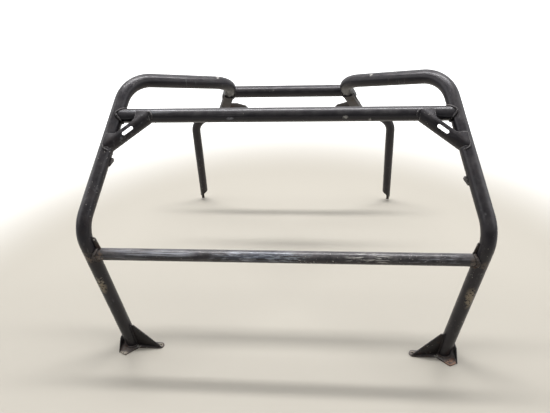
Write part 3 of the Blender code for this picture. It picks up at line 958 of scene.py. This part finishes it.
# where, how far it reaches, colour, strength, texture, and how broken up it is
bar_marks = (
    ((-0.125, BAR_FRONT, BAR_HIGH), (0.110, 0.022, 0.022), SILVER, 0.90, FLECK, 0.515),
    ((0.015, BAR_FRONT, BAR_HIGH), (0.100, 0.022, 0.022), PALE_BLUE, 0.85, FLECK, 0.50),
    ((-0.060, BAR_FRONT, BAR_HIGH), (0.170, 0.026, 0.024), BLUISH, 0.35, STREAK, 0.46),
    ((0.265, BAR_FRONT, BAR_HIGH), (0.095, 0.023, 0.023), WHITISH, 0.85, FLECK, 0.50),
    # a painted highlight line high on the front of the bar, in the silver of the scuffs
    ((-0.330, BAR_FRONT, BAR_HIGH + 0.006), (0.100, 0.022, 0.012), SILVER, 0.80, STREAK, 0.44),
    ((-0.470, BAR_FRONT, BAR_HIGH), (0.110, 0.022, 0.022), SILVER, 0.50, STREAK, 0.48),
    ((0.450, BAR_FRONT, BAR_HIGH), (0.120, 0.022, 0.022), SILVER, 0.45, FLECK, 0.54),
    ((-0.553, BAR_FRONT, LOWER_BAR.z), (0.020, 0.030, 0.030), BURNT, 0.85, SPECKLE, 0.44),
    ((0.556, BAR_FRONT, LOWER_BAR.z), (0.014, 0.030, 0.026), BURNT, 0.60, SPECKLE, 0.44),
)
leg_marks = (
    ((-0.5745, -0.4985, 0.305), (0.018, 0.026, 0.042), KHAKI, 0.90, SPECKLE, 0.40),
    ((-0.5745, -0.4985, 0.330), (0.026, 0.026, 0.020), PALE_TAN, 0.70, SPECKLE, 0.50),
    ((0.5720, -0.4985, 0.290), (0.018, 0.026, 0.055), KHAKI, 0.85, SPECKLE, 0.42),
    ((-0.590, -0.508, 0.425), (0.034, 0.026, 0.026), BURNT, 0.80, SPECKLE, 0.44),
    ((0.590, -0.508, 0.420), (0.022, 0.026, 0.022), BURNT, 0.50, SPECKLE, 0.44),
    ((-0.245, 0.050, 0.803), (0.010, 0.010, 0.012), WHITISH, 0.90, SPECKLE, 0.44),
    ((0.291, 0.015, 0.815), (0.010, 0.010, 0.012), WHITISH, 0.90, SPECKLE, 0.44),
)
upper_marks = (
    ((0.192, -0.238, 0.766), (0.011, 0.009, 0.008), WHITISH, 0.60, SPECKLE, 0.42),
    ((0.265, -0.238, 0.757), (0.006, 0.009, 0.009), WHITISH, 0.60, SPECKLE, 0.42),
    ((-0.158, -0.238, 0.765), (0.016, 0.009, 0.006), SILVER, 0.40, SPECKLE, 0.44),
    # a painted highlight line along the top edge of the bar's left part
    ((-0.400, -0.225, 0.785), (0.130, 0.020, 0.008), SILVER, 0.35, STREAK, 0.48),
)
base_marks = (
    ((-0.566, -0.519, 0.004), (0.022, 0.012, 0.010), PALE_TAN, 0.95, SPECKLE, 0.36),
    ((-0.560, -0.500, 0.005), (0.030, 0.018, 0.010), BURNT, 0.70, SPECKLE, 0.44),
    ((0.562, -0.513, 0.005), (0.030, 0.017, 0.010), COPPER, 0.85, SPECKLE, 0.40),
    ((-0.5185, -0.485, 0.005), (0.010, 0.010, 0.010), WHITISH, 0.90, SPECKLE, 0.34),
    ((0.5185, -0.485, 0.005), (0.010, 0.010, 0.010), WHITISH, 0.90, SPECKLE, 0.34),
    ((-0.442, -0.478, 0.005), (0.012, 0.012, 0.010), PALE_TAN, 0.80, SPECKLE, 0.38),
    ((0.442, -0.478, 0.005), (0.012, 0.012, 0.010), PALE_TAN, 0.70, SPECKLE, 0.38),
)
print("marks:", len(bar_marks) + len(leg_marks) + len(upper_marks) + len(base_marks))

# %% Finishes
BLACK = (0.0062, 0.0053, 0.0072)
ALONG_X = (3.5, 190.0, 190.0)
ALONG_Z = (75.0, 75.0, 28.0)
EVEN = (60.0, 60.0, 60.0)
FINE = (90.0, 90.0, 90.0)
finishes = {
    "legs": paint("black_legs", BLACK, ALONG_Z, dust_and_sheen_amount=0.22, scratched=0.35, chipped=0.7,
                  worn=0.3, rusty=0.04, coat=0.28, marks=leg_marks),
    "hoop": paint("black_hoop", BLACK, ALONG_Z, dust_and_sheen_amount=0.22, scratched=0.25, chipped=0.5,
                  worn=0.3, rusty=0.08, coat=0.12, seed=4.0),
    "upper": paint("black_upper_bar", BLACK, ALONG_X, dust_and_sheen_amount=0.24, scratched=0.40,
                   chipped=0.6, worn=0.3, coat=0.50, marks=upper_marks, seed=7.0),
    "lower": paint("black_lower_bar", BLACK, ALONG_X, dust_and_sheen_amount=0.60, scratched=0.95,
                   chipped=0.9, worn=0.4, rusty=0.04, coat=0.65, marks=bar_marks,
                   seed=2.0),
    "rear": paint("black_rear_bar", BLACK, ALONG_X, dust_and_sheen_amount=0.24, scratched=0.35,
                  chipped=0.5, worn=0.3, coat=0.28, seed=5.0),
    # its strong edge wear is worn paint, and also a painted highlight along the cheek edges
    "sheet": paint("black_folded_sheet", (0.0062, 0.0053, 0.0068), EVEN, dust_and_sheen_amount=0.22,
                   scratched=0.45, chipped=0.8, worn=0.85, rusty=0.05, coat=0.2, seed=1.0),
    "bracket": paint("dusty_bracket", (0.045, 0.040, 0.036), (70.0, 70.0, 30.0),
                     dust_and_sheen_amount=0.40, scratched=0.35, chipped=0.6, worn=0.6, rusty=0.25,
                     dull=0.48, seed=3.0),
    "foot": paint("worn_foot", (0.0090, 0.0080, 0.0075), (60.0, 60.0, 40.0), dust_and_sheen_amount=0.35,
                  scratched=0.40, chipped=0.8, worn=0.60, rusty=0.20, dull=0.42, seed=6.0),
    "base": paint("trodden_base", (0.040, 0.032, 0.026), EVEN, dust_and_sheen_amount=0.75, scratched=0.5,
                  chipped=0.9, worn=1.0, rusty=0.55, dull=0.5, marks=base_marks, seed=8.0),
    "tab": paint("bare_tab", (0.060, 0.053, 0.046), (70.0, 70.0, 50.0), dust_and_sheen_amount=0.55,
                 scratched=0.5, chipped=0.8, worn=0.9, rusty=0.30, dull=0.5, seed=9.0),
    "tongue": paint("rusty_tongue", (0.026, 0.020, 0.016), (80.0, 80.0, 20.0), dust_and_sheen_amount=0.45,
                    scratched=0.4, chipped=0.6, worn=0.7, rusty=0.75, dull=0.55,
                    seed=10.0),
    "dark_bead": paint("painted_bead", (0.016, 0.0145, 0.0145), FINE, dust_and_sheen_amount=0.45,
                       scratched=0.3, chipped=0.6, rusty=0.15, dull=0.36, seed=11.0),
    # paler than the painted beads: scuffs, and a painted highlight along the gusset cheek
    # edges
    "seam_bead_with_highlight": paint("scuffed_bead", (0.030, 0.028, 0.028), FINE, dust_and_sheen_amount=0.60,
                       scratched=0.4, chipped=0.9, rusty=0.10, dull=0.34, seed=13.0),
    "pale_bead": paint("dusty_bead", (0.055, 0.044, 0.035), FINE, dust_and_sheen_amount=0.85,
                       scratched=0.5, chipped=0.9, rusty=0.45, dull=0.50, seed=12.0),
}
print("finishes:", ", ".join(finishes))

# %% [markdown]
# ### Which piece gets which finish
#
# On the real rack everything was sprayed at once and then aged in its own place.
# The finish goes by the kind of piece: beads low down and on the tabs caught dirt
# and are pale, the ones on the gussets are scuffed and paler, which also paints the
# highlight along the cheek edges, and the rest are painted over.

# %% Paint every piece
PLATE_FINISH = {"foot_base": "base", "foot_side": "foot", "foot_gusset": "foot",
                "bar_tab": "tab", "leg_ear": "tab", "rear_tongue": "tongue",
                "bracket_web": "bracket", "corner_gusset": "sheet",
                "drop_bracket": "bracket"}
TUBE_FINISH = {"bent_main": "legs", "bent_rear": "hoop", "notched_upper": "upper",
               "notched_lower": "lower", "notched_rear": "rear"}
PALE_BEADS = ("bead_lower", "bead_leg_base", "bead_tab", "bead_side")
SEAM_BEADS = "bead_cheek"
for piece in tubes:
    found = [finish for start, finish in TUBE_FINISH.items() if piece.name.startswith(start)]
    piece.data.materials.append(finishes[found[0]])
for (node, side), piece in plates.items():
    piece.data.materials.append(finishes[PLATE_FINISH[node]])
for name, piece in beads.items():
    finish = "pale_bead" if name.startswith(PALE_BEADS) else "dark_bead"
    if name.startswith(SEAM_BEADS):
        finish = "seam_bead_with_highlight"
    piece.data.materials.append(finishes[finish])
left_over = [node for node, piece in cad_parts.items() if not piece.hide_render]
print("solid pieces still shown:", left_over or "none")

# %% [markdown]
# ## Floor, light and camera
#
# The floor is a wide pale disc. It fades to plain white round the rack, as a paper
# backdrop does, so every view has a calm background. A curved backdrop would need a
# wall, and the wall would stand in the way of a view from behind. The white part
# glows only where the camera sees it directly, because a floor that lit the rack
# would wash out the black paint.

# %% Floor that fades to white
FADE_FROM, FADE_TO = 1.25, 2.5
FADE_AHEAD = 0.45             # how far in front of the origin the fade is centred
FLOOR_RADIUS = 14.0
FLOOR_NEAR = (0.53, 0.495, 0.43, 1.0)
FLOOR_FAR = (0.80, 0.80, 0.79, 1.0)
bm = bmesh.new()
bmesh.ops.create_circle(bm, cap_ends=True, segments=96, radius=FLOOR_RADIUS)
mesh = bpy.data.meshes.new("floor")
bm.to_mesh(mesh)
bm.free()
ground = bpy.data.objects.new("floor", mesh)
bpy.context.scene.collection.objects.link(ground)
ground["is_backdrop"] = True

floor = Recipe("pale_floor")
distance = floor.tree.nodes.new("ShaderNodeVectorMath")
distance.operation = "LENGTH"
floor.link(floor.moved(shift=(0.0, FADE_AHEAD, 0.0)), distance.inputs[0])
fade = floor.spread(distance.outputs["Value"], FADE_FROM, FADE_TO)
seen = floor.tree.nodes.new("ShaderNodeLightPath").outputs["Is Camera Ray"]
colour = floor.layer(FLOOR_NEAR, FLOOR_FAR, fade)
floor.link(colour, floor.shader.inputs["Base Color"])
floor.shader.inputs["Roughness"].default_value = 0.75
floor.shader.inputs["Emission Color"].default_value = (1.0, 1.0, 1.0, 1.0)
floor.link(floor.math("MULTIPLY", fade, seen), floor.shader.inputs["Emission Strength"])
mesh.materials.append(floor.material)
print("floor fades from", FADE_FROM, "to", FADE_TO, "m")

# %% [markdown]
# The surroundings that the paint reflects are bright behind the rack, dimmer above
# it and dim in front of it. This is what keeps the lower half of each tube nearly
# black while its top edge shines. An even white world would turn every edge grey.

# %% Surroundings
DIM, BRIGHT = 0.16, 1.0
DIM_AT, BRIGHT_AT = -0.2, 0.7     # how far a direction points backwards, from -1 to 1
world = bpy.data.worlds.new("pale_room")
bpy.context.scene.world = world
world.use_nodes = True
nodes, links = world.node_tree.nodes, world.node_tree.links
split = nodes.new("ShaderNodeSeparateXYZ")
links.new(nodes.new("ShaderNodeTexCoord").outputs["Generated"], split.inputs[0])
glow = nodes.new("ShaderNodeMapRange")
for socket, value in zip(list(glow.inputs)[1:5], (DIM_AT, BRIGHT_AT, DIM, BRIGHT)):
    socket.default_value = value
links.new(split.outputs["Y"], glow.inputs["Value"])
direct = nodes.new("ShaderNodeLightPath")
brighter = nodes.new("ShaderNodeMath")
brighter.operation = "MAXIMUM"
links.new(glow.outputs["Result"], brighter.inputs[0])
links.new(direct.outputs["Is Camera Ray"], brighter.inputs[1])
links.new(brighter.outputs[0], nodes["Background"].inputs["Strength"])
nodes["Background"].inputs["Color"].default_value = (0.97, 0.98, 1.0, 1.0)
print("surroundings go from", DIM, "in front to", BRIGHT, "behind")

# %% [markdown]
# Wide lamps give soft shadows, and a long narrow one over the rack draws the thin
# bright line that glossy tube shows along its top. Sun or spot lamps would give
# hard shadows and small hot spots.

# %% Soft studio lights
def soft_light(name, place, aim, size, power):
    lamp = bpy.data.lights.new(name, "AREA")
    lamp.shape = "RECTANGLE"
    lamp.size, lamp.size_y = size
    lamp.energy = power
    light = bpy.data.objects.new(name, lamp)
    light.location = place
    light.rotation_euler = (Vector(aim) - Vector(place)).to_track_quat("-Z", "Y").to_euler()
    bpy.context.scene.collection.objects.link(light)
    print(name, "light:", power, "W")


soft_light("overhead", (0.0, 0.30, 2.9), (0.0, 0.1, 0.0), (2.6, 1.3), 34.0)
soft_light("strip", (0.0, 0.35, 2.8), (0.0, 0.1, 0.0), (2.8, 0.16), 52.0)
soft_light("left_side", (-2.8, -0.7, 1.9), (0.0, -0.2, 0.5), (2.8, 1.8), 24.0)
soft_light("right_side", (2.8, -0.7, 1.9), (0.0, -0.2, 0.5), (2.8, 1.8), 24.0)

# %% [markdown]
# The camera stands in front of the rack at about chest height and looks down on it.
# The Standard view transform keeps white white and black black, where the default
# one would lift the dark paint to grey.

# %% Camera
lens = bpy.data.cameras.new("camera")
lens.sensor_width = 36.0
lens.lens = 29.845
camera = bpy.data.objects.new("camera", lens)
camera.location = (0.0921, -1.0723 - MID_Y, 1.2941)
camera.rotation_euler = tuple(math.radians(angle) for angle in (56.974, 2.124, 4.046))
bpy.context.scene.collection.objects.link(camera)
bpy.context.scene.camera = camera
bpy.context.scene.view_settings.view_transform = "Standard"
print("camera height in m:", round(camera.location.z, 2))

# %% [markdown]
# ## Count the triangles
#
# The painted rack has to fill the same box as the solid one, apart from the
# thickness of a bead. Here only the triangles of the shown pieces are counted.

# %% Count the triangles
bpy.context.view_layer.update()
triangles = sum(len(polygon.vertices) - 2 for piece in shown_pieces()
                for polygon in piece.data.polygons)
print("triangles:", triangles)
